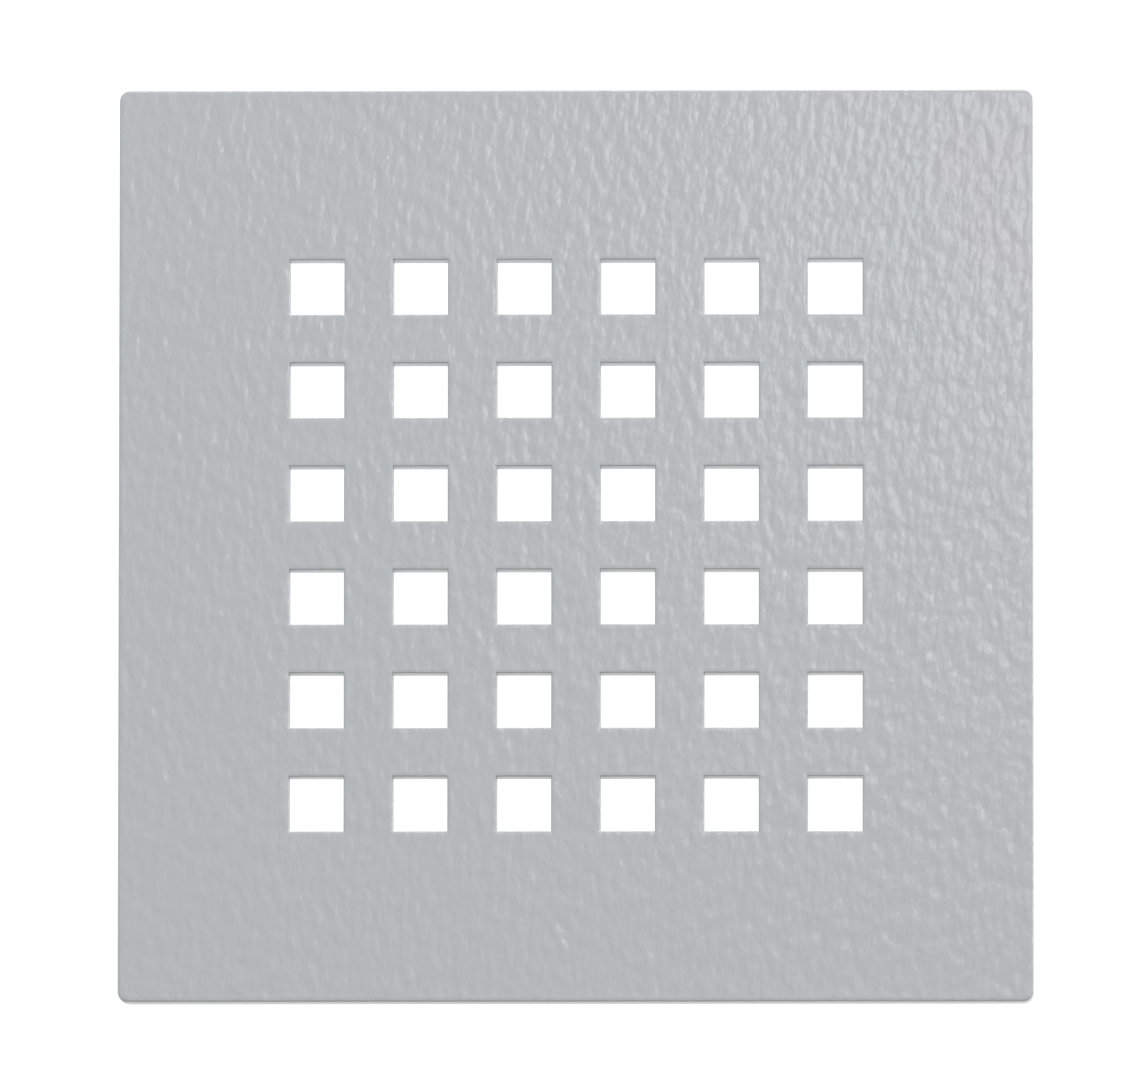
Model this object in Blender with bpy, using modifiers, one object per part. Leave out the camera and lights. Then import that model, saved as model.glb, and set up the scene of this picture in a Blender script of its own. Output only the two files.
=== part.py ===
"""Square floor drain grate, in metres, +Z up.

A lacquered steel plate with a square grid of square holes. Under its plain margin are four
welded studs with push-on rubber feet, which rest on the ledge of the floor recess, and four
folded lugs, which drop into the outlet and keep the plate centred.

The origin is under the plate's centre, level with the lower ends of the lugs. +Y is the back
edge and +X the right edge.
"""

import math

import bmesh
import bpy
from mathutils import Matrix

# Clearance kept between two pieces that touch
GAP = 0.0003

# Plate
PLATE_SIDE = 0.1235
PLATE_THICKNESS = 0.005
PLATE_CORNER_RADIUS = 0.0014
PLATE_EDGE_RADIUS = 0.0004
CORNER_STEPS = 5

# Grid of holes. Each is 7.4 mm square between its walls, and opens to about 8 mm over its rounded rim.
HOLES_PER_SIDE = 6
HOLE_PITCH = 0.014
HOLE_SIDE = 0.0074

# Folded centring lugs. The reach is from the plate's centre to a lug's outer face.
LUG_REACH = 0.049
LUG_SHEET = 0.0015
LUG_FLANGE = 0.0085
LUG_HEIGHT = 0.012
LUG_WIDTH = 0.014
LUG_BEND_RADIUS = 0.0025
LUG_BEND_STEPS = 8
LUG_TIP_RADIUS = 0.003
LUG_EDGE_BEVEL = 0.00015
SPOT_WELD_RADIUS = 0.0015
SPOT_WELD_DEPTH = 0.00025
SPOT_WELD_SPACING = 0.007

# Welded studs
STUD_PLACE = 0.054
STUD_RADIUS = 0.002
STUD_LENGTH = 0.0033
STUD_COLLAR_RADIUS = 0.0028
STUD_COLLAR_HEIGHT = 0.0007
STUD_CHAMFER = 0.0004

# Push-on rubber feet
FOOT_HEIGHT = 0.005
FOOT_TOP_RADIUS = 0.005
FOOT_BOTTOM_RADIUS = 0.0045
FOOT_TOP_ROUNDING = 0.0003
FOOT_BOTTOM_ROUNDING = 0.0007
ROUNDING_STEPS = 4

TURNED_STEPS = 32
SMOOTH_ANGLE = math.radians(35)

# Levels above the floor of the part's frame
LUG_TOP = LUG_HEIGHT
UNDERSIDE = LUG_TOP + GAP

CORNERS = {
    "front_left": (-1, -1),
    "front_right": (1, -1),
    "back_right": (1, 1),
    "back_left": (-1, 1),
}
SIDES = {
    "right": 0.0,
    "back": math.radians(90),
    "left": math.radians(180),
    "front": math.radians(270),
}


def clear_scene():
    for obj in list(bpy.data.objects):
        bpy.data.objects.remove(obj, do_unlink=True)


def new_collection(name):
    collection = bpy.data.collections.new(name)
    bpy.context.scene.collection.children.link(collection)
    return collection


def new_material(name, colour, roughness, metallic):
    material = bpy.data.materials.new(name)
    material.use_nodes = True
    shader = material.node_tree.nodes["Principled BSDF"]
    shader.inputs["Base Color"].default_value = (*colour, 1.0)
    shader.inputs["Roughness"].default_value = roughness
    shader.inputs["Metallic"].default_value = metallic
    return material


def arc(centre, radius, start, end, steps):
    """Points along an arc, from angle start to angle end in degrees, both ends included."""
    angles = [math.radians(start + (end - start) * i / steps) for i in range(steps + 1)]
    return [(centre[0] + radius * math.cos(a), centre[1] + radius * math.sin(a)) for a in angles]


def square(centre, side):
    half = side / 2
    return [(centre[0] + sx * half, centre[1] + sy * half) for sx, sy in CORNERS.values()]


def rounded_square(side, radius, steps):
    inner = side / 2 - radius
    outline = []
    for start, (sx, sy) in zip((180, 270, 0, 90), CORNERS.values()):
        outline += arc((sx * inner, sy * inner), radius, start, start + 90, steps)
    return outline


def outline_curve(name, outlines, thickness, edge_radius=0.0):
    """A flat plate as a filled 2D curve, centred on its own plane, with any holes cut out.

    The offset draws the rounding back, so that the plate keeps the size of its outline.
    """
    curve = bpy.data.curves.new(name, "CURVE")
    curve.dimensions = "2D"
    curve.fill_mode = "BOTH"
    curve.extrude = thickness / 2 - edge_radius
    curve.bevel_depth = edge_radius
    curve.bevel_resolution = 1
    curve.offset = -edge_radius
    for outline in outlines:
        spline = curve.splines.new("POLY")
        spline.points.add(len(outline) - 1)
        for point, (x, y) in zip(spline.points, outline):
            point.co = (x, y, 0.0, 1.0)
        spline.use_cyclic_u = True
    return bpy.data.objects.new(name, curve)


def welded_mesh(source, collection):
    """Replaces a curve object by a mesh object whose caps are welded to its sides."""
    collection.objects.link(source)
    graph = bpy.context.evaluated_depsgraph_get()
    mesh = bpy.data.meshes.new_from_object(source.evaluated_get(graph), depsgraph=graph)
    work = bmesh.new()
    work.from_mesh(mesh)
    bmesh.ops.remove_doubles(work, verts=work.verts, dist=1e-6)
    work.to_mesh(mesh)
    work.free()
    name = source.name
    matrix = source.matrix_world.copy()
    bpy.data.objects.remove(source, do_unlink=True)
    piece = bpy.data.objects.new(name, mesh)
    piece.matrix_world = matrix
    collection.objects.link(piece)
    return piece


def turned_mesh(name, profile):
    """A mesh turned about Z from a profile of (radius, height), run from the top axis downwards."""
    mesh = bpy.data.meshes.new(name)
    points = [(radius, 0.0, height) for radius, height in profile]
    mesh.from_pydata(points, [(i, i + 1) for i in range(len(points) - 1)], [])
    return mesh


def add_screw(piece):
    screw = piece.modifiers.new("Turn", "SCREW")
    screw.steps = TURNED_STEPS
    screw.render_steps = TURNED_STEPS
    screw.use_merge_vertices = True
    screw.merge_threshold = 1e-6
    screw.use_smooth_shade = True


def make_cutter(piece):
    piece.hide_render = True
    piece.display_type = "WIRE"


def add_boolean(piece, cutter, operation):
    boolean = piece.modifiers.new(cutter.name, "BOOLEAN")
    boolean.operation = operation
    boolean.solver = "EXACT"
    boolean.object = cutter


def build_plate(parts, material):
    reach = (HOLES_PER_SIDE - 1) / 2 * HOLE_PITCH
    places = [i * HOLE_PITCH - reach for i in range(HOLES_PER_SIDE)]
    outlines = [rounded_square(PLATE_SIDE, PLATE_CORNER_RADIUS, CORNER_STEPS)]
    outlines += [square((x, y), HOLE_SIDE) for x in places for y in places]
    plate = outline_curve("grate_plate", outlines, PLATE_THICKNESS, PLATE_EDGE_RADIUS)
    plate.location.z = UNDERSIDE + PLATE_THICKNESS / 2
    plate.data.materials.append(material)
    parts.objects.link(plate)


def build_studs(parts, material):
    tip = STUD_RADIUS - STUD_CHAMFER
    profile = [
        (0.0, 0.0),
        (STUD_COLLAR_RADIUS, 0.0),
        (STUD_RADIUS, -STUD_COLLAR_HEIGHT),
        (STUD_RADIUS, STUD_CHAMFER - STUD_LENGTH),
        (tip, -STUD_LENGTH),
        (0.0, -STUD_LENGTH),
    ]
    mesh = turned_mesh("welded_stud", profile)
    mesh.materials.append(material)
    for corner, (sx, sy) in CORNERS.items():
        stud = bpy.data.objects.new("stud_" + corner, mesh)
        stud.location = (sx * STUD_PLACE, sy * STUD_PLACE, UNDERSIDE - GAP)
        parts.objects.link(stud)
        add_screw(stud)


def foot_profile():
    """The blind socket follows the stud at a distance of GAP, and its mouth flares past the collar."""
    socket = STUD_RADIUS + GAP
    mouth = STUD_COLLAR_RADIUS + GAP
    top = (FOOT_TOP_RADIUS - FOOT_TOP_ROUNDING, -FOOT_TOP_ROUNDING)
    bottom = (FOOT_BOTTOM_RADIUS - FOOT_BOTTOM_ROUNDING, FOOT_BOTTOM_ROUNDING - FOOT_HEIGHT)
    profile = [
        (0.0, -STUD_LENGTH - GAP),
        (socket, -STUD_LENGTH - GAP),
        (socket, -STUD_COLLAR_HEIGHT - GAP),
        (mouth, 0.0),
    ]
    profile += arc(top, FOOT_TOP_ROUNDING, 90, 0, ROUNDING_STEPS)
    profile += arc(bottom, FOOT_BOTTOM_ROUNDING, 0, -90, ROUNDING_STEPS)
    profile.append((0.0, -FOOT_HEIGHT))
    return profile


def build_feet(parts, material):
    mesh = turned_mesh("push_on_foot", foot_profile())
    mesh.materials.append(material)
    for corner, (sx, sy) in CORNERS.items():
        foot = bpy.data.objects.new("foot_" + corner, mesh)
        foot.location = (sx * STUD_PLACE, sy * STUD_PLACE, UNDERSIDE - GAP)
        parts.objects.link(foot)
        add_screw(foot)


def lug_side_outline():
    """The folded strip seen from its edge: x points outwards and y up, with 0, 0 at the outer top."""
    bend = (-LUG_BEND_RADIUS, -LUG_BEND_RADIUS)
    outline = [(-LUG_FLANGE, 0.0)]
    outline += arc(bend, LUG_BEND_RADIUS, 90, 0, LUG_BEND_STEPS)
    outline += [(0.0, -LUG_HEIGHT), (-LUG_SHEET, -LUG_HEIGHT)]
    outline += arc(bend, LUG_BEND_RADIUS - LUG_SHEET, 0, 90, LUG_BEND_STEPS)
    outline.append((-LUG_FLANGE, -LUG_SHEET))
    return outline


def lug_front_outline():
    """The lug seen from outside: square at the top and round at its two lower corners."""
    side = LUG_WIDTH / 2 - LUG_TIP_RADIUS
    tip = LUG_TIP_RADIUS - LUG_HEIGHT
    outline = [(LUG_WIDTH / 2, LUG_SHEET), (-LUG_WIDTH / 2, LUG_SHEET)]
    outline += arc((-side, tip), LUG_TIP_RADIUS, 180, 270, LUG_BEND_STEPS)
    outline += arc((side, tip), LUG_TIP_RADIUS, 270, 360, LUG_BEND_STEPS)
    return outline


def spot_weld_cutter(cutters, name, y):
    """A shallow round dish in the lower face of the flange."""
    middle = -(LUG_FLANGE + LUG_BEND_RADIUS) / 2
    mesh = bpy.data.meshes.new(name)
    work = bmesh.new()
    bmesh.ops.create_cone(
        work,
        cap_ends=True,
        segments=TURNED_STEPS // 2,
        radius1=SPOT_WELD_RADIUS + SPOT_WELD_DEPTH,
        radius2=SPOT_WELD_RADIUS - SPOT_WELD_DEPTH,
        depth=2 * SPOT_WELD_DEPTH,
    )
    work.to_mesh(mesh)
    work.free()
    cutter = bpy.data.objects.new(name, mesh)
    cutter.location = (middle, y, -LUG_SHEET)
    cutters.objects.link(cutter)
    make_cutter(cutter)
    return cutter


def lug_mesh(cutters):
    """One lug, trimmed and spot-welded, with its outer top edge at 0, 0, 0 and outwards along +X."""
    upright = Matrix.Rotation(math.radians(90), 4, "X")
    facing = Matrix.Rotation(math.radians(90), 4, "Z") @ upright
    blank = outline_curve("lug_blank", [lug_side_outline()], 2 * LUG_WIDTH)
    blank.matrix_world = upright
    blank = welded_mesh(blank, cutters)
    trim = outline_curve("lug_trim", [lug_front_outline()], 4 * LUG_FLANGE)
    trim.matrix_world = facing
    trim = welded_mesh(trim, cutters)
    make_cutter(blank)
    make_cutter(trim)
    add_boolean(blank, trim, "INTERSECT")
    for name, sign in (("spot_weld_a", -1), ("spot_weld_b", 1)):
        dish = spot_weld_cutter(cutters, name, sign * SPOT_WELD_SPACING / 2)
        add_boolean(blank, dish, "DIFFERENCE")
    bpy.context.view_layer.update()
    graph = bpy.context.evaluated_depsgraph_get()
    mesh = bpy.data.meshes.new_from_object(blank.evaluated_get(graph), depsgraph=graph)
    mesh.transform(upright)
    mesh.name = "centring_lug"
    return mesh


def build_lugs(parts, cutters, material):
    mesh = lug_mesh(cutters)
    mesh.materials.clear()
    mesh.materials.append(material)
    mesh.shade_smooth()
    mesh.set_sharp_from_angle(angle=SMOOTH_ANGLE)
    for side, angle in SIDES.items():
        lug = bpy.data.objects.new("lug_" + side, mesh)
        lug.location = (LUG_REACH * math.cos(angle), LUG_REACH * math.sin(angle), LUG_TOP)
        lug.rotation_euler.z = angle
        parts.objects.link(lug)
        bevel = lug.modifiers.new("Soft edges", "BEVEL")
        bevel.width = LUG_EDGE_BEVEL
        bevel.segments = 1
        bevel.limit_method = "ANGLE"
        bevel.angle_limit = SMOOTH_ANGLE


def main():
    clear_scene()
    parts = new_collection("floor_drain_grate")
    cutters = new_collection("cutters")
    lacquer = new_material("lacquered_steel", (0.49, 0.51, 0.53), 0.45, 0.0)
    stainless = new_material("stainless_steel", (0.56, 0.57, 0.58), 0.35, 1.0)
    rubber = new_material("rubber", (0.03, 0.03, 0.032), 0.75, 0.0)
    build_plate(parts, lacquer)
    build_studs(parts, stainless)
    build_feet(parts, rubber)
    build_lugs(parts, cutters, stainless)


main()
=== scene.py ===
"""Looks of the floor drain grate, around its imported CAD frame. Metres, +Z up, +Y to the back."""

import math

import bmesh
import bpy
import numpy as np
from mathutils import Matrix, Vector, noise


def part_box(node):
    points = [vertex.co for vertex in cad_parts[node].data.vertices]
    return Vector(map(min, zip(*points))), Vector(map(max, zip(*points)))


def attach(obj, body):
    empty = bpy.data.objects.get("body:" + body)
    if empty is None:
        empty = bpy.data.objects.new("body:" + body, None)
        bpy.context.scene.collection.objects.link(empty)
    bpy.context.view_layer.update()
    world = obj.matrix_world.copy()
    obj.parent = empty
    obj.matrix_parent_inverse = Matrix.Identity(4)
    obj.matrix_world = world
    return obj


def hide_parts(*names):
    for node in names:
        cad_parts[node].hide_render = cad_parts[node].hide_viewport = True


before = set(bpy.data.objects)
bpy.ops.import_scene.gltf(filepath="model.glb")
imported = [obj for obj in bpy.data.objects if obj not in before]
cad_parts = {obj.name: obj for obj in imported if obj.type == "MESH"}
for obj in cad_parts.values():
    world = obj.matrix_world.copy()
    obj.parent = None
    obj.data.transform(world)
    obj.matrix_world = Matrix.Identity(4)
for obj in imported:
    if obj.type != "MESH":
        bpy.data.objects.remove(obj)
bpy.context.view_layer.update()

# Grid of holes, as in the CAD plate
HOLES_PER_SIDE = 6
HOLE_PITCH = 0.014
HOLE_SIDE = 0.0074
PLATE_CORNER_RADIUS = 0.0014

# Rounding that the lacquer gives the plate's outline, and the sharper rounding of the holes
RIM_RADIUS = 0.0003
HOLE_RIM_RADIUS = 0.0002
RIM_STEPS = (0.06, 0.25, 0.55, 1.0)

# Spacing of the mesh of the plate's top: finer across the grain than along it
GRID_ACROSS = 0.00038
GRID_ALONG = 0.00046

# Relief of the top: height, size of one grain across and along, octaves of its fractal noise (fall in
# height, rise in frequency and number), height left at an edge and the distance over which it grows
RELIEF_HEIGHT = 0.00005
RELIEF_ACROSS = 0.0010
RELIEF_ALONG = 0.0023
RELIEF_OCTAVES = (1.0, 2.0, 2)
RELIEF_AT_RIM = 0.4
RELIEF_FADE = 0.0012

# Sway of the relief's grains to either side: in grains, size across and along, and slice of its noise
SWAY = 0.6
SWAY_ACROSS = 0.006
SWAY_ALONG = 0.009
SWAY_SLICE = 3.7

# Grain of the lacquer itself, a bump over the relief: size across and along, and height
GRAIN_ACROSS = 0.0013
GRAIN_ALONG = 0.0025
GRAIN_HEIGHT = 0.00014

# Slight lean of the grain away from the back-to-front line
GRAIN_LEAN = math.radians(9)

# Walls of the plate and its holes: parts of the height with a ring of points, and angles round the lower rim
WALL_PARTS = (0.12, 0.5, 1.0)
LOWER_RIM_ANGLES = (30, 60, 90)

# Folded lugs, as in the CAD lugs, the rounding of their sheared edges and the spacing of their mesh
LUG_REACH = 0.049
LUG_SHEET = 0.0015
LUG_FLANGE = 0.0085
LUG_HEIGHT = 0.012
LUG_WIDTH = 0.014
LUG_BEND_RADIUS = 0.0025
LUG_TIP_RADIUS = 0.003
LUG_RIM = 0.0003
LUG_SPACING = 0.00028

# Length of the bend of a lug along the middle of the strip
LUG_BEND_LENGTH = (LUG_BEND_RADIUS - LUG_SHEET / 2) * math.pi / 2

# Directions in which the lugs point outwards, in degrees from +X
LUG_SIDES = {"right": 0, "back": 90, "left": 180, "front": 270}

# Dishes of the two spot welds in each flange, and the low ring of upset metal round them
SPOT_WELD_RADIUS = 0.0015
SPOT_WELD_DEPTH = 0.00025
SPOT_WELD_SPACING = 0.007
SPOT_WELD_SLOPE = 0.00025
SPOT_WELD_UPSET = 0.00005

# Heat tint round each spot weld: reach in weld radii, waver of its rings, colours from weld to clean metal
HEAT_REACH = 2.4
HEAT_WAVER = 0.0004
HEAT_COLOURS = (
    (0.0, (0.38, 0.38, 0.39)),
    (0.38, (0.32, 0.31, 0.32)),
    (0.50, (0.19, 0.21, 0.31)),
    (0.62, (0.32, 0.22, 0.20)),
    (0.76, (0.48, 0.38, 0.25)),
    (1.0, (0.44, 0.435, 0.43)),
)

# Welded studs, as in the CAD studs
STUD_PLACE = 0.054
STUD_RADIUS = 0.002
STUD_LENGTH = 0.0033
STUD_COLLAR_RADIUS = 0.0028
STUD_COLLAR_HEIGHT = 0.0007
STUD_CHAMFER = 0.0004

# Rubber feet, as in the CAD feet, with a mould line, two grip grooves and a gate mark
FOOT_HEIGHT = 0.005
FOOT_TOP_RADIUS = 0.005
FOOT_BOTTOM_RADIUS = 0.0045
FOOT_TOP_ROUNDING = 0.0003
FOOT_BOTTOM_ROUNDING = 0.0007
FOOT_LINE_HEIGHT = 0.00007
FOOT_LINE_WIDTH = 0.00022
FOOT_GROOVES = (0.0031, 0.0021)
FOOT_GROOVE_WIDTH = 0.0006
FOOT_GROOVE_DEPTH = 0.00028
FOOT_GATE_RADIUS = 0.0009
FOOT_GATE_DEPTH = 0.00015
FOOT_GATE_PARTS = (1.0, 0.9, 0.75, 0.5, 0.25)

# Clearance kept between pieces that touch
GAP = 0.0003

# A length that stands in for 0 where it would be divided by
TINY = 1e-12

# Sides of each corner of the plate, as signs of X and Y
CORNERS = {
    "front_left": (-1, -1),
    "front_right": (1, -1),
    "back_right": (1, 1),
    "back_left": (-1, 1),
}

# Steps round a turned piece, and the angle between two faces from which their edge is sharp
TURNED_STEPS = 96
SMOOTH_ANGLE = math.radians(40)

# Noise in the materials, in cells per metre along X, Y and Z
BROAD_CELLS = (420, 190, 190)
PATCH_CELLS = (120, 60, 60)
# The next cells are those of the clouds of painted rosy reflection of the glint lamp
PAINTED_GLINT_TINT_CELLS = (130, 90, 90)
PEEL_CELLS = (900, 900, 900)
STUD_BRUSHING_CELLS = (700, 700, 9000)
STUD_STAIN_CELLS = (300, 300, 300)
LUG_BRUSHING_CELLS = (9000, 500, 500)
LUG_STAIN_CELLS = (260, 260, 260)
BLOOM_CELLS = (700, 700, 700)
GRIT_CELLS = (6000, 6000, 6000)

# Heights of the bumps that those noises make
BROAD_HEIGHT = 0.00005
PEEL_HEIGHT = 0.000002
BRUSHING_HEIGHT = 0.000006
GRIT_HEIGHT = 0.00001

# Colours between which the noise of each material moves
LACQUER_COLOURS = ((0.470, 0.496, 0.516), (0.484, 0.504, 0.524))
# Painted rosy reflection of the glint lamp, mixed into the lacquer's colour at the back right
PAINTED_GLINT_TINT_COLOUR = (0.506, 0.488, 0.520)
PLAIN_LACQUER_COLOURS = ((0.462, 0.490, 0.508), (0.485, 0.502, 0.520))
STUD_COLOURS = ((0.36, 0.36, 0.36), (0.46, 0.455, 0.45))
STAIN_SHADES = ((0.86, 0.86, 0.86), (1.0, 1.0, 1.0))
RUBBER_COLOURS = ((0.022, 0.022, 0.023), (0.050, 0.050, 0.052))

# Smoothest and roughest finish of each material
LACQUER_ROUGHNESS = (0.19, 0.25)
PLAIN_LACQUER_ROUGHNESS = (0.28, 0.34)
STAINLESS_ROUGHNESS = (0.26, 0.44)
RUBBER_ROUGHNESS = (0.62, 0.86)

# Painted rosy reflection of the glint lamp, in clouds: noise from which they start and at which they are
# full, and their greatest share.
# They grow from nothing to full between two places along X and along Y.
PAINTED_GLINT_TINT_RANGE = (0.36, 0.6)
PAINTED_GLINT_TINT_SHARE = 0.8
PAINTED_GLINT_TINT_GROWTH = (("X", 0.02, 0.055), ("Y", -0.01, 0.055))

# White floor just under the ends of the lugs, which shines by itself like a light table
FLOOR_RADIUS = 12.0
FLOOR_STEPS = 128
FLOOR_GAP = 0.0002
FLOOR_GREY = 0.4
FLOOR_GLOW = 0.85

# Soft boxes turned towards the origin: place, (width, length) and power
SOFT_BOXES = {
    "overhead": ((0.0, 0.2, 2.4), (2.0, 2.0), 9.1),
    "back": ((0.2, 1.6, 0.8), (0.8, 0.8), 15.0),
    "side": ((2.2, 0.5, 0.55), (0.8, 0.5), 21.0),
    "fill": ((-1.5, -0.3, 0.5), (0.6, 0.6), 2.5),
}

# Small lamp that draws the glints. It shines straight down.
GLINT_PLACE = Vector((0.118, 0.154, 0.9))
GLINT_SIZE = (0.08, 0.12)
GLINT_POWER = 0.35
GLINT_COLOUR = (0.98, 1.0, 1.0)

# Brightness of the room in front of the plate and behind it
ROOM_FRONT = 0.216
ROOM_BACK = 0.656

# A long lens almost straight above the plate. It stands a little to the right and to the front,
# so that the left and back walls of the holes show. The shift sets the plate in its frame.
CAMERA_PLACE = Vector((0.080, -0.255, 3.000))
CAMERA_LENS = 709.8
CAMERA_ROLL = math.radians(0.05)
CAMERA_SHIFT = (-0.0086, 0.0067)


# ---------------------------------------------------------------- node helpers


def new_material(name):
    """A material, its node tree and its shader."""
    material = bpy.data.materials.new(name)
    material.use_nodes = True
    return material, material.node_tree, material.node_tree.nodes["Principled BSDF"]


def node(tree, kind, inputs=None, **settings):
    """A shader node with its settings, and its inputs given as values or as sockets to link."""
    made = tree.nodes.new(kind)
    for key, value in settings.items():
        setattr(made, key, value)
    for key, value in (inputs or {}).items():
        if isinstance(value, bpy.types.NodeSocket):
            tree.links.new(value, made.inputs[key])
        else:
            made.inputs[key].default_value = value
    return made


def link(tree, output, target):
    tree.links.new(output, target)


def object_coordinates(tree, scale, lean=0.0):
    """Places on the object, turned about Z by lean and then scaled along each axis."""
    place = node(tree, "ShaderNodeTexCoord").outputs["Object"]
    if lean:
        turned_place = node(tree, "ShaderNodeMapping", {"Vector": place, "Rotation": (0.0, 0.0, lean)})
        place = turned_place.outputs["Vector"]
    return node(tree, "ShaderNodeMapping", {"Vector": place, "Scale": scale}).outputs["Vector"]


def map_range(tree, value, to_low, to_high, from_low=0.0, from_high=1.0):
    """The value carried from one range over to another. It stops at their ends."""
    ends = {"From Min": from_low, "From Max": from_high, "To Min": to_low, "To Max": to_high}
    return node(tree, "ShaderNodeMapRange", {"Value": value, **ends}).outputs["Result"]


def maths(tree, operation, first, second):
    return node(tree, "ShaderNodeMath", {0: first, 1: second}, operation=operation).outputs["Value"]


def noise_field(tree, scale, detail=3.0, roughness=0.5, lean=0.0):
    """Fractal noise, 0 to 1, whose cells measure 1 / scale along each axis, which may lean."""
    field = node(
        tree,
        "ShaderNodeTexNoise",
        {
            "Vector": object_coordinates(tree, scale, lean),
            "Scale": 1.0,
            "Detail": detail,
            "Roughness": roughness,
        },
    )
    return field.outputs["Fac"]


def mix_colour(tree, factor, first, second, blend="MIX"):
    """Colour output of a mix of two colours, each given as a tuple or as a socket, like the factor."""
    made = node(tree, "ShaderNodeMix", data_type="RGBA", blend_type=blend)
    sockets = {socket.identifier: socket for socket in [*made.inputs, *made.outputs]}
    for name, value in (("Factor_Float", factor), ("A_Color", first), ("B_Color", second)):
        if isinstance(value, bpy.types.NodeSocket):
            link(tree, value, sockets[name])
        else:
            sockets[name].default_value = value if name == "Factor_Float" else (*value, 1.0)
    return sockets["Result_Color"]


def add_bump(tree, height, distance, normal=None):
    """A normal tilted by the slopes of height, which is distance high, on top of another normal."""
    made = node(tree, "ShaderNodeBump", {"Height": height, "Distance": distance, "Strength": 1.0})
    if normal is not None:
        link(tree, normal, made.inputs["Normal"])
    return made.outputs["Normal"]


# ------------------------------------------------------------------- materials


def lacquer_material():
    """Cool grey satin lacquer with a stone-like grain that runs from back to front, and a painted rosy
    reflection of the glint lamp at the back right.
    """
    material, tree, shader = new_material("lacquered_steel_top")
    grain_cells = (1 / GRAIN_ACROSS, 1 / GRAIN_ALONG, 1 / GRAIN_ALONG)
    grain = noise_field(tree, grain_cells, detail=2.0, roughness=0.4, lean=GRAIN_LEAN)
    broad = noise_field(tree, BROAD_CELLS, detail=1.0, lean=GRAIN_LEAN)
    patches = noise_field(tree, PATCH_CELLS, detail=2.0)
    tint = mix_colour(tree, patches, *LACQUER_COLOURS)
    # Painted rosy reflection of the glint lamp, mixed into the base colour towards the back right corner
    tint = mix_colour(tree, painted_glint_tint_share(tree), tint, PAINTED_GLINT_TINT_COLOUR)
    link(tree, tint, shader.inputs["Base Color"])
    link(tree, map_range(tree, grain, *LACQUER_ROUGHNESS), shader.inputs["Roughness"])
    normal = add_bump(tree, grain, GRAIN_HEIGHT)
    normal = add_bump(tree, broad, BROAD_HEIGHT, normal)
    link(tree, normal, shader.inputs["Normal"])
    return material


def painted_glint_tint_share(tree):
    """Share of the painted rosy reflection of the glint lamp, in faint clouds that fade out from the plate's
    back right corner.
    """
    clouds = noise_field(tree, PAINTED_GLINT_TINT_CELLS, detail=1.0)
    place = node(tree, "ShaderNodeSeparateXYZ", {"Vector": object_coordinates(tree, (1.0, 1.0, 1.0))})
    share = map_range(tree, clouds, 0.0, PAINTED_GLINT_TINT_SHARE, *PAINTED_GLINT_TINT_RANGE)
    for axis, start, full in PAINTED_GLINT_TINT_GROWTH:
        share = maths(tree, "MULTIPLY", share, map_range(tree, place.outputs[axis], 0.0, 1.0, start, full))
    return share


def plain_lacquer_material():
    """The same lacquer on the walls and underside, where it lies smooth."""
    material, tree, shader = new_material("lacquered_steel_plain")
    peel = noise_field(tree, PEEL_CELLS, detail=2.0)
    tint = mix_colour(tree, peel, *PLAIN_LACQUER_COLOURS)
    link(tree, tint, shader.inputs["Base Color"])
    link(tree, map_range(tree, peel, *PLAIN_LACQUER_ROUGHNESS), shader.inputs["Roughness"])
    link(tree, add_bump(tree, peel, PEEL_HEIGHT), shader.inputs["Normal"])
    return material


def brushed_stainless(name, brushing_cells, stain_cells):
    """Brushed stainless strip without its colour. Also gives the noise of its stains."""
    material, tree, shader = new_material(name)
    shader.inputs["Metallic"].default_value = 1.0
    brushing = noise_field(tree, brushing_cells, roughness=0.6)
    link(tree, map_range(tree, brushing, *STAINLESS_ROUGHNESS), shader.inputs["Roughness"])
    link(tree, add_bump(tree, brushing, BRUSHING_HEIGHT), shader.inputs["Normal"])
    return material, tree, shader, noise_field(tree, stain_cells)


def stainless_material():
    """Mill-finish stainless of the studs, turned about their length."""
    material, tree, shader, stains = brushed_stainless(
        "stainless_strip", STUD_BRUSHING_CELLS, STUD_STAIN_CELLS
    )
    tint = mix_colour(tree, stains, *STUD_COLOURS)
    link(tree, tint, shader.inputs["Base Color"])
    return material


def welded_stainless_material():
    """The strip of the lugs, with a straw to blue heat tint round the two spot welds."""
    material, tree, shader, stains = brushed_stainless("stainless_lug", LUG_BRUSHING_CELLS, LUG_STAIN_CELLS)
    waver = map_range(tree, stains, -HEAT_WAVER, HEAT_WAVER)
    distance = maths(tree, "ADD", distance_to_weld(tree), waver)
    heat = map_range(tree, distance, 0.0, 1.0, 0.0, HEAT_REACH * SPOT_WELD_RADIUS)
    ramp = node(tree, "ShaderNodeValToRGB", {"Fac": heat})
    elements = ramp.color_ramp.elements
    elements[0].color = (*HEAT_COLOURS[0][1], 1.0)
    elements[1].color = (*HEAT_COLOURS[-1][1], 1.0)
    for position, colour in HEAT_COLOURS[1:-1]:
        elements.new(position).color = (*colour, 1.0)
    shade = mix_colour(tree, stains, *STAIN_SHADES)
    tint = mix_colour(tree, 1.0, ramp.outputs["Color"], shade, "MULTIPLY")
    link(tree, tint, shader.inputs["Base Color"])
    return material


def distance_to_weld(tree):
    """Distance from a place on the lug to the nearer of its two spot welds."""
    place = node(tree, "ShaderNodeTexCoord").outputs["Object"]
    middle = -(LUG_FLANGE + LUG_BEND_RADIUS) / 2
    left, right = [
        node(
            tree,
            "ShaderNodeVectorMath",
            {0: place, 1: (middle, side * SPOT_WELD_SPACING / 2, -LUG_SHEET)},
            operation="DISTANCE",
        ).outputs["Value"]
        for side in (-1, 1)
    ]
    return maths(tree, "MINIMUM", left, right)


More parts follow.
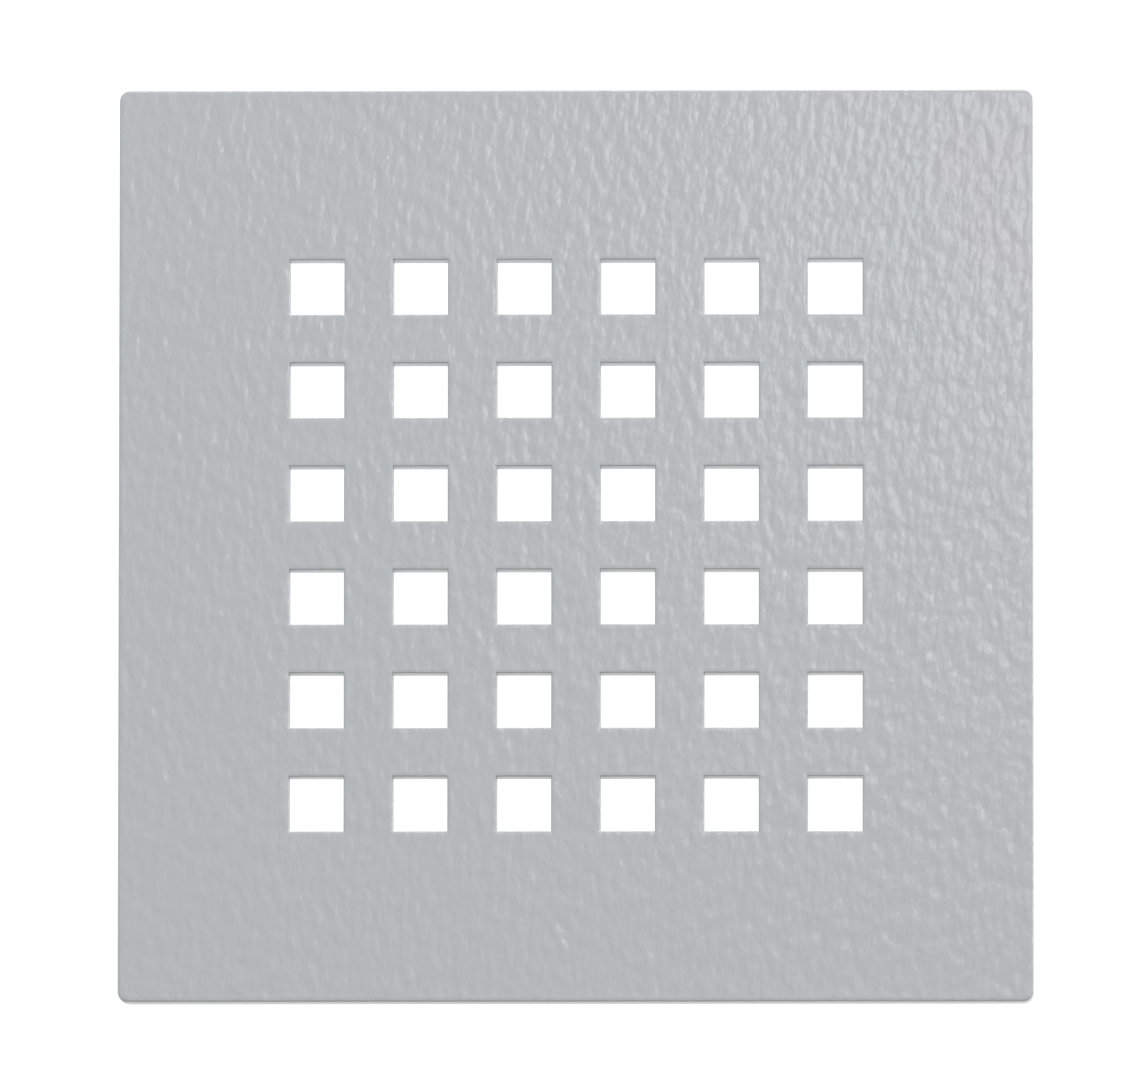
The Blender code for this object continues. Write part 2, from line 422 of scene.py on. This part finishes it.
def rubber_material():
    """Matt black moulded rubber with a trace of bloom."""
    material, tree, shader = new_material("moulded_rubber")
    bloom = noise_field(tree, BLOOM_CELLS, detail=4.0, roughness=0.6)
    grit = noise_field(tree, GRIT_CELLS, detail=2.0)
    tint = mix_colour(tree, bloom, *RUBBER_COLOURS)
    link(tree, tint, shader.inputs["Base Color"])
    link(tree, map_range(tree, bloom, *RUBBER_ROUGHNESS), shader.inputs["Roughness"])
    link(tree, add_bump(tree, grit, GRIT_HEIGHT), shader.inputs["Normal"])
    return material


# ----------------------------------------------------------------------- plate


def hole_centres():
    """Middles of the holes along either side of the plate."""
    reach = (HOLES_PER_SIDE - 1) / 2 * HOLE_PITCH
    return [i * HOLE_PITCH - reach for i in range(HOLES_PER_SIDE)]


def grid_lines(half, spacing):
    """Coordinates along one side: every hole edge, the rim steps beside it, and even steps between."""
    edges = [-half]
    for centre in hole_centres():
        edges += [centre - HOLE_SIDE / 2, centre + HOLE_SIDE / 2]
    edges.append(half)
    lines = []
    for index, (low, high) in enumerate(zip(edges, edges[1:])):
        on_metal = index % 2 == 0
        low_rim = RIM_RADIUS if index == 0 else HOLE_RIM_RADIUS
        high_rim = RIM_RADIUS if index == len(edges) - 2 else HOLE_RIM_RADIUS
        start = low + low_rim if on_metal else low
        stop = high - high_rim if on_metal else high
        steps = max(1, round((stop - start) / spacing))
        if on_metal:
            lines += [low] + [low + step * low_rim for step in RIM_STEPS[:-1]]
        lines += list(np.linspace(start, stop, steps + 1))[: None if on_metal else -1]
        if on_metal:
            lines += [high - step * high_rim for step in reversed(RIM_STEPS[:-1])]
    lines.append(half)
    return np.array(sorted(set(np.round(lines, 9))))


def round_corners(x, y, half):
    """Moves the points of each square corner onto a quarter disc."""
    corner = half - PLATE_CORNER_RADIUS
    u = np.abs(x) - corner
    v = np.abs(y) - corner
    inside = (u > 0) & (v > 0)
    far = np.where(inside, np.hypot(u, v), 1.0)
    scale = np.where(inside, np.maximum(u, v) / far, 1.0)
    new_x = np.where(inside, np.sign(x) * (corner + u * scale), x)
    new_y = np.where(inside, np.sign(y) * (corner + v * scale), y)
    return new_x, new_y


def edge_distances(x, y, half):
    """Distance from each point of the metal to the plate's outline and to the nearest hole."""
    corner = half - PLATE_CORNER_RADIUS
    u = np.abs(x) - corner
    v = np.abs(y) - corner
    outside = np.hypot(np.maximum(u, 0), np.maximum(v, 0)) + np.minimum(np.maximum(u, v), 0)
    to_outline = PLATE_CORNER_RADIUS - outside
    centres = np.array(hole_centres())
    near_x = np.abs(x[..., None] - centres).min(axis=-1) - HOLE_SIDE / 2
    near_y = np.abs(y[..., None] - centres).min(axis=-1) - HOLE_SIDE / 2
    to_hole = np.hypot(np.maximum(near_x, 0), np.maximum(near_y, 0))
    return to_outline, to_hole


def rim_drop(distance, radius):
    """How far a rounded rim lies below the flat, at a distance from the edge."""
    inner = np.clip(radius - distance, 0, radius)
    return radius - np.sqrt(radius**2 - inner**2)


def relief(x, y, distance):
    """Depth of the lacquer's grain below its highest point."""
    depth = np.empty(len(x))
    across = (x * math.cos(GRAIN_LEAN) - y * math.sin(GRAIN_LEAN)) / RELIEF_ACROSS
    along = (x * math.sin(GRAIN_LEAN) + y * math.cos(GRAIN_LEAN)) / RELIEF_ALONG
    for index in range(len(x)):
        swaying = Vector((x[index] / SWAY_ACROSS, y[index] / SWAY_ALONG, SWAY_SLICE))
        sway = SWAY * noise.noise(swaying)
        depth[index] = noise.fractal(Vector((across[index] + sway, along[index], 0.0)), *RELIEF_OCTAVES)
    depth = np.clip(0.5 - 0.5 * depth, 0, 1)
    fade = np.clip(distance / RELIEF_FADE, 0, 1)
    return RELIEF_HEIGHT * depth * (RELIEF_AT_RIM + (1 - RELIEF_AT_RIM) * fade)


def top_surface(half, top):
    """Points and four-sided faces of the plate's top, with its holes left out."""
    lines_x = grid_lines(half, GRID_ACROSS)
    lines_y = grid_lines(half, GRID_ALONG)
    x, y = np.meshgrid(lines_x, lines_y)
    index = np.arange(x.size).reshape(x.shape)
    middle_x = (lines_x[1:] + lines_x[:-1]) / 2
    middle_y = (lines_y[1:] + lines_y[:-1]) / 2
    centres = np.array(hole_centres())
    open_x = (np.abs(middle_x[:, None] - centres) < HOLE_SIDE / 2).any(axis=1)
    open_y = (np.abs(middle_y[:, None] - centres) < HOLE_SIDE / 2).any(axis=1)
    solid = ~(open_y[:, None] & open_x[None, :])
    corners = [index[:-1, :-1], index[:-1, 1:], index[1:, 1:], index[1:, :-1]]
    faces = np.stack([c[solid] for c in corners], axis=1)
    used, faces = np.unique(faces, return_inverse=True)
    faces = faces.reshape(-1, 4)
    x, y = round_corners(x.ravel()[used], y.ravel()[used], half)
    to_outline, to_hole = edge_distances(x, y, half)
    drop = np.maximum(rim_drop(to_outline, RIM_RADIUS), rim_drop(to_hole, HOLE_RIM_RADIUS))
    z = top - drop - relief(x, y, np.minimum(to_outline, to_hole))
    return np.stack([x, y, z], axis=1), faces


def open_edges(faces):
    """The directed edges that only one face has."""
    edges = np.concatenate([faces[:, [i, (i + 1) % 4]] for i in range(4)])
    keys = edges[:, 0] * (faces.max() + 1) + edges[:, 1]
    twins = edges[:, 1] * (faces.max() + 1) + edges[:, 0]
    return edges[~np.isin(keys, twins)]


def into_metal(points, half):
    """Unit direction from each point of an edge straight into the metal."""
    corner = half - PLATE_CORNER_RADIUS
    x, y = points[:, 0], points[:, 1]
    u = np.maximum(np.abs(x) - corner, 0) * np.sign(x)
    v = np.maximum(np.abs(y) - corner, 0) * np.sign(y)
    length = np.maximum(np.hypot(u, v), TINY)
    outer = np.stack([-u / length, -v / length], axis=1)
    centres = np.array(hole_centres())
    away_x = x - centres[np.abs(x[:, None] - centres).argmin(axis=1)]
    away_y = y - centres[np.abs(y[:, None] - centres).argmin(axis=1)]
    inner = np.stack([away_x, away_y], axis=1) / (HOLE_SIDE / 2)
    on_outline = np.maximum(np.abs(x), np.abs(y)) > corner
    return np.where(on_outline[:, None], outer, inner)


def wall_rings(top, bottom):
    """(offset into the metal, height) of each ring of points down a wall and round its lower rim."""
    upper = top - RIM_RADIUS
    lower = bottom + RIM_RADIUS
    rings = [(0.0, upper + (lower - upper) * part) for part in WALL_PARTS]
    for angle in LOWER_RIM_ANGLES:
        turn = math.radians(angle)
        offset = RIM_RADIUS * (1 - math.cos(turn))
        rings.append((offset, lower - RIM_RADIUS * math.sin(turn)))
    return rings


def build_plate(materials):
    """The plate as one closed mesh: its top, then rings of points down every wall, then its underside."""
    low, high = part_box("grate_plate")
    half = (high[0] - low[0]) / 2
    points, faces = top_surface(half, high[2])
    edges = open_edges(faces)
    rim, ends = np.unique(edges, return_inverse=True)
    ends = ends.reshape(-1, 2)
    inward = into_metal(points[rim], half)
    rows = [points]
    walls = []
    upper = rim
    for offset, height in wall_rings(high[2], low[2]):
        ring = np.column_stack([points[rim, :2] + inward * offset, np.full(len(rim), height)])
        lower = sum(len(row) for row in rows) + np.arange(len(rim))
        first, second = ends[:, 0], ends[:, 1]
        walls.append(np.stack([upper[second], upper[first], lower[first], lower[second]], axis=1))
        rows.append(ring)
        upper = lower
    mesh = bpy.data.meshes.new("plate")
    mesh.from_pydata(np.concatenate(rows).tolist(), [], np.concatenate([faces, *walls]).tolist())
    close_underside(mesh)
    for material in materials:
        mesh.materials.append(material)
    paint_faces(mesh, high[2])
    mesh.shade_smooth()
    mesh.set_sharp_from_angle(angle=SMOOTH_ANGLE)
    plate = bpy.data.objects.new("plate", mesh)
    bpy.context.scene.collection.objects.link(plate)
    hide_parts("grate_plate")
    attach(plate, "root")


def close_underside(mesh):
    """Fills the flat underside between the outline and the holes."""
    work = bmesh.new()
    work.from_mesh(mesh)
    loops = [edge for edge in work.edges if edge.is_boundary]
    bmesh.ops.triangle_fill(work, edges=loops, use_beauty=True, normal=(0, 0, -1))
    bmesh.ops.recalc_face_normals(work, faces=work.faces)
    work.to_mesh(mesh)
    work.free()


def paint_faces(mesh, top):
    """Grained lacquer on the top and its rims, plain lacquer below them."""
    wall_top = top - RIM_RADIUS - 2 * RELIEF_HEIGHT
    for face in mesh.polygons:
        face.material_index = 0 if face.center.z > wall_top else 1


# --------------------------------------------------------------- lugs and feet


def add_piece(name, replaced, slot, points, faces, material, place, angle=0.0):
    """A smooth piece of the grate that stands in for the replaced CAD node, turned about Z by angle."""
    mesh = bpy.data.meshes.new(name)
    mesh.from_pydata(points, [], faces)
    mesh.materials.append(material)
    mesh.shade_smooth()
    mesh.set_sharp_from_angle(angle=SMOOTH_ANGLE)
    piece = bpy.data.objects.new(name, mesh)
    piece.location = place
    piece.rotation_euler.z = angle
    bpy.context.scene.collection.objects.link(piece)
    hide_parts(replaced)
    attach(piece, "root")


def arc(centre, radius, start, end, steps):
    """Points along an arc, from angle start to angle end in degrees, both ends included."""
    angles = np.radians(np.linspace(start, end, steps + 1))
    return [(centre[0] + radius * math.cos(a), centre[1] + radius * math.sin(a)) for a in angles]


def turned(profile):
    """Points and faces of a solid turned about Z. The profile of (radius, height) starts and ends on Z."""
    points = [(0.0, 0.0, profile[0][1])]
    for radius, height in profile[1:-1]:
        for turn in np.linspace(0, 2 * math.pi, TURNED_STEPS, endpoint=False):
            points.append((radius * math.cos(turn), radius * math.sin(turn), height))
    points.append((0.0, 0.0, profile[-1][1]))
    rings = len(profile) - 2
    faces = []
    for step in range(TURNED_STEPS):
        after = (step + 1) % TURNED_STEPS
        faces.append((0, 1 + step, 1 + after))
        for ring in range(rings - 1):
            low = 1 + ring * TURNED_STEPS
            high = low + TURNED_STEPS
            faces.append((low + step, high + step, high + after, low + after))
        last = 1 + (rings - 1) * TURNED_STEPS
        faces.append((last + step, len(points) - 1, last + after))
    return points, faces


def groove(middle, width, depth, level, steps=8):
    """A rounded groove in a level bottom, as (radius, height), from its outer edge to its inner edge."""
    points = []
    for part in np.linspace(0, 1, steps + 1):
        rise = depth * (1 - math.cos(2 * math.pi * part)) / 2
        points.append((middle + width * (0.5 - part), level + rise))
    return points


def foot_profile():
    """From the blind socket over the mouth, down the tapered side and in across the sole."""
    socket = STUD_RADIUS + GAP
    top = (FOOT_TOP_RADIUS - FOOT_TOP_ROUNDING, -FOOT_TOP_ROUNDING)
    bottom = (FOOT_BOTTOM_RADIUS - FOOT_BOTTOM_ROUNDING, FOOT_BOTTOM_ROUNDING - FOOT_HEIGHT)
    profile = [
        (0.0, -STUD_LENGTH - GAP),
        (socket, -STUD_LENGTH - GAP),
        (socket, -STUD_COLLAR_HEIGHT - GAP),
        (STUD_COLLAR_RADIUS + GAP, 0.0),
    ]
    profile += arc(top, FOOT_TOP_ROUNDING, 90, 0, 6)
    line = (top[1] + bottom[1]) / 2
    side = (FOOT_TOP_RADIUS + FOOT_BOTTOM_RADIUS) / 2
    half = FOOT_LINE_WIDTH / 2
    profile += [(side, line + half), (side + FOOT_LINE_HEIGHT, line + half / 3)]
    profile += [(side + FOOT_LINE_HEIGHT, line - half / 3), (side, line - half)]
    profile += arc(bottom, FOOT_BOTTOM_ROUNDING, 0, -90, 10)
    for middle in FOOT_GROOVES:
        profile += groove(middle, FOOT_GROOVE_WIDTH, FOOT_GROOVE_DEPTH, -FOOT_HEIGHT)
    for part in FOOT_GATE_PARTS:
        rise = FOOT_GATE_DEPTH * (1 + math.cos(math.pi * part)) / 2
        profile.append((FOOT_GATE_RADIUS * part, rise - FOOT_HEIGHT))
    profile.append((0.0, FOOT_GATE_DEPTH - FOOT_HEIGHT))
    return profile


def stud_profile():
    """From the welded end down the fillet of its collar to the chamfered end in the foot."""
    fillet = arc((STUD_COLLAR_RADIUS, -STUD_COLLAR_HEIGHT), STUD_COLLAR_RADIUS - STUD_RADIUS, 90, 180, 6)
    squeeze = STUD_COLLAR_HEIGHT / (STUD_COLLAR_RADIUS - STUD_RADIUS)
    profile = [(0.0, 0.0)]
    profile += [(r, (z + STUD_COLLAR_HEIGHT) * squeeze - STUD_COLLAR_HEIGHT) for r, z in fillet]
    profile += [(STUD_RADIUS, STUD_CHAMFER - STUD_LENGTH), (STUD_RADIUS - STUD_CHAMFER, -STUD_LENGTH)]
    profile.append((0.0, -STUD_LENGTH))
    return profile


def build_feet(stainless, rubber):
    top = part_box("grate_plate")[0][2] - GAP
    foot = turned(foot_profile())
    stud = turned(stud_profile())
    for corner, (x, y) in CORNERS.items():
        place = (x * STUD_PLACE, y * STUD_PLACE, top)
        stud_names = ("welded_stud_" + corner, "stud_" + corner, "stainless_steel")
        foot_names = ("rubber_foot_" + corner, "foot_" + corner, "rubber")
        add_piece(*stud_names, *stud, stainless, place)
        add_piece(*foot_names, *foot, rubber, place)


def strip_lines(length, spacing):
    """Coordinates from 0 to a length, close together in the rounding at both ends."""
    rims = [0.0] + [step * LUG_RIM for step in RIM_STEPS]
    steps = round((length - 2 * LUG_RIM) / spacing)
    middle = np.linspace(LUG_RIM, length - LUG_RIM, steps + 1)
    return np.concatenate([rims[:-1], middle, length - np.array(rims[-2::-1])])


def folded(along, across, depth):
    """A point of the lug: along the strip from the inner end, across it, and below its outer face."""
    flat = LUG_FLANGE - LUG_BEND_RADIUS
    past_flat = along - flat
    turn = np.clip(past_flat / LUG_BEND_LENGTH, 0, 1) * math.pi / 2
    radius = LUG_BEND_RADIUS - depth
    x = -LUG_BEND_RADIUS + np.minimum(past_flat, 0) + radius * np.sin(turn)
    z = -LUG_BEND_RADIUS - np.maximum(past_flat - LUG_BEND_LENGTH, 0) + radius * np.cos(turn)
    return np.stack([x, across, z], axis=1)


def weld_dish(along, across):
    """Depth of the spot-weld dishes in the inner face. Below 0 it stands proud."""
    middle = (LUG_FLANGE - LUG_BEND_RADIUS) / 2
    away = np.hypot(along - middle, np.abs(across) - SPOT_WELD_SPACING / 2)
    dish = np.clip((SPOT_WELD_RADIUS + SPOT_WELD_SLOPE - away) / (2 * SPOT_WELD_SLOPE), 0, 1)
    upset = np.exp(-(((away - SPOT_WELD_RADIUS - 2 * SPOT_WELD_SLOPE) / SPOT_WELD_SLOPE) ** 2))
    return SPOT_WELD_DEPTH * dish * dish * (3 - 2 * dish) - SPOT_WELD_UPSET * upset


def lug_shape():
    """Points and faces of one folded lug, with its outer top edge at 0, 0, 0 and outwards along +X."""
    length = LUG_FLANGE + LUG_BEND_LENGTH + LUG_HEIGHT - 2 * LUG_BEND_RADIUS
    half = LUG_WIDTH / 2
    lines_along = strip_lines(length, LUG_SPACING)
    lines_across = strip_lines(LUG_WIDTH, LUG_SPACING) - half
    along, across = np.meshgrid(lines_along, lines_across)
    rows, columns = along.shape
    along, across = along.ravel(), across.ravel()
    u = along - (length - LUG_TIP_RADIUS)
    v = np.abs(across) - (half - LUG_TIP_RADIUS)
    tip = (u > 0) & (v > 0)
    scale = np.where(tip, np.maximum(u, v) / np.where(tip, np.hypot(u, v), 1.0), 1.0)
    along = np.where(tip, length - LUG_TIP_RADIUS + u * scale, along)
    across = np.where(tip, np.sign(across) * (half - LUG_TIP_RADIUS + v * scale), across)
    to_edge = np.minimum(np.minimum(along, length - along), half - np.abs(across))
    to_edge = np.where(tip, LUG_TIP_RADIUS - np.maximum(u, v), to_edge)
    rim = rim_drop(to_edge, LUG_RIM)
    outer_face = folded(along, across, rim)
    inner_face = folded(along, across, LUG_SHEET - rim - weld_dish(along, across))
    index = np.arange(rows * columns).reshape(rows, columns)
    corners = [index[:-1, :-1], index[:-1, 1:], index[1:, 1:], index[1:, :-1]]
    front = np.stack([c.ravel() for c in corners], axis=1)
    below = rows * columns
    back = front[:, ::-1] + below
    border = np.concatenate([index[0, :-1], index[:-1, -1], index[-1, :0:-1], index[:0:-1, 0]])
    after = np.roll(border, -1)
    edge = np.stack([border, border + below, after + below, after], axis=1)
    points = np.concatenate([outer_face, inner_face])
    return points.tolist(), np.concatenate([front, back, edge]).tolist()


def build_lugs(material):
    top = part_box("grate_plate")[0][2] - GAP
    shape = lug_shape()
    for side, degrees in LUG_SIDES.items():
        angle = math.radians(degrees)
        place = (LUG_REACH * math.cos(angle), LUG_REACH * math.sin(angle), top)
        names = ("folded_lug_" + side, "lug_" + side, "stainless_steel")
        add_piece(*names, *shape, material, place, angle)


# ----------------------------------------------------------------------- stage


def build_floor():
    """A wide white floor, far wider than any view of the grate."""
    bpy.ops.mesh.primitive_circle_add(vertices=FLOOR_STEPS, radius=FLOOR_RADIUS, fill_type="NGON")
    floor = bpy.context.object
    floor.name = "floor"
    floor.location.z = -FLOOR_GAP
    material, _, shader = new_material("pale_floor")
    shader.inputs["Base Color"].default_value = (FLOOR_GREY, FLOOR_GREY, FLOOR_GREY, 1.0)
    shader.inputs["Roughness"].default_value = 1.0
    shader.inputs["Emission Color"].default_value = (1.0, 1.0, 1.0, 1.0)
    shader.inputs["Emission Strength"].default_value = FLOOR_GLOW
    floor.data.materials.append(material)


def area_light(name, place, size, power, colour=(1.0, 1.0, 1.0), aim=(0.0, 0.0, 0.0)):
    """A soft box of (width, length) at a place, turned towards aim."""
    data = bpy.data.lights.new(name, "AREA")
    data.shape = "RECTANGLE"
    data.size, data.size_y = size
    data.energy = power
    data.color = colour
    light = bpy.data.objects.new(name, data)
    light.location = place
    light.rotation_euler = (Vector(place) - Vector(aim)).to_track_quat("Z", "Y").to_euler()
    light.visible_camera = False
    bpy.context.scene.collection.objects.link(light)


def build_lights():
    """Soft boxes above, behind, at the right and at the left, and a small lamp for the glints."""
    for name, (place, size, power) in SOFT_BOXES.items():
        area_light(name, place, size, power)
    under_glint = (GLINT_PLACE.x, GLINT_PLACE.y, 0.0)
    area_light("glint", GLINT_PLACE, GLINT_SIZE, GLINT_POWER, GLINT_COLOUR, under_glint)


def build_world():
    """A white room that is darker in front of the plate than behind it."""
    world = bpy.data.worlds.new("studio")
    bpy.context.scene.world = world
    world.use_nodes = True
    tree = world.node_tree
    direction = node(tree, "ShaderNodeTexCoord").outputs["Generated"]
    forward = node(tree, "ShaderNodeSeparateXYZ", {"Vector": direction}).outputs["Y"]
    background = tree.nodes["Background"]
    background.inputs["Color"].default_value = (1.0, 1.0, 1.0, 1.0)
    strength = map_range(tree, forward, ROOM_FRONT, ROOM_BACK, -1.0, 1.0)
    link(tree, strength, background.inputs["Strength"])


# ---------------------------------------------------------------------- camera


def build_camera():
    """A camera that looks at the middle of the plate's top."""
    low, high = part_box("grate_plate")
    centre = Vector(((low[0] + high[0]) / 2, (low[1] + high[1]) / 2, high[2]))
    data = bpy.data.cameras.new("camera")
    data.lens = CAMERA_LENS
    data.shift_x, data.shift_y = CAMERA_SHIFT
    camera = bpy.data.objects.new("camera", data)
    camera.location = centre + CAMERA_PLACE
    back = CAMERA_PLACE.normalized()
    right = Vector((0.0, 1.0, 0.0)).cross(back).normalized()
    up = back.cross(right)
    turn = Matrix((right, up, back)).transposed()
    camera.rotation_euler = (turn @ Matrix.Rotation(CAMERA_ROLL, 3, "Z")).to_euler()
    bpy.context.scene.collection.objects.link(camera)
    bpy.context.scene.camera = camera


# ------------------------------------------------------------------------ main


build_plate([lacquer_material(), plain_lacquer_material()])
build_feet(stainless_material(), rubber_material())
build_lugs(welded_stainless_material())
build_floor()
build_lights()
build_world()
build_camera()
bpy.context.scene.view_settings.view_transform = "Standard"
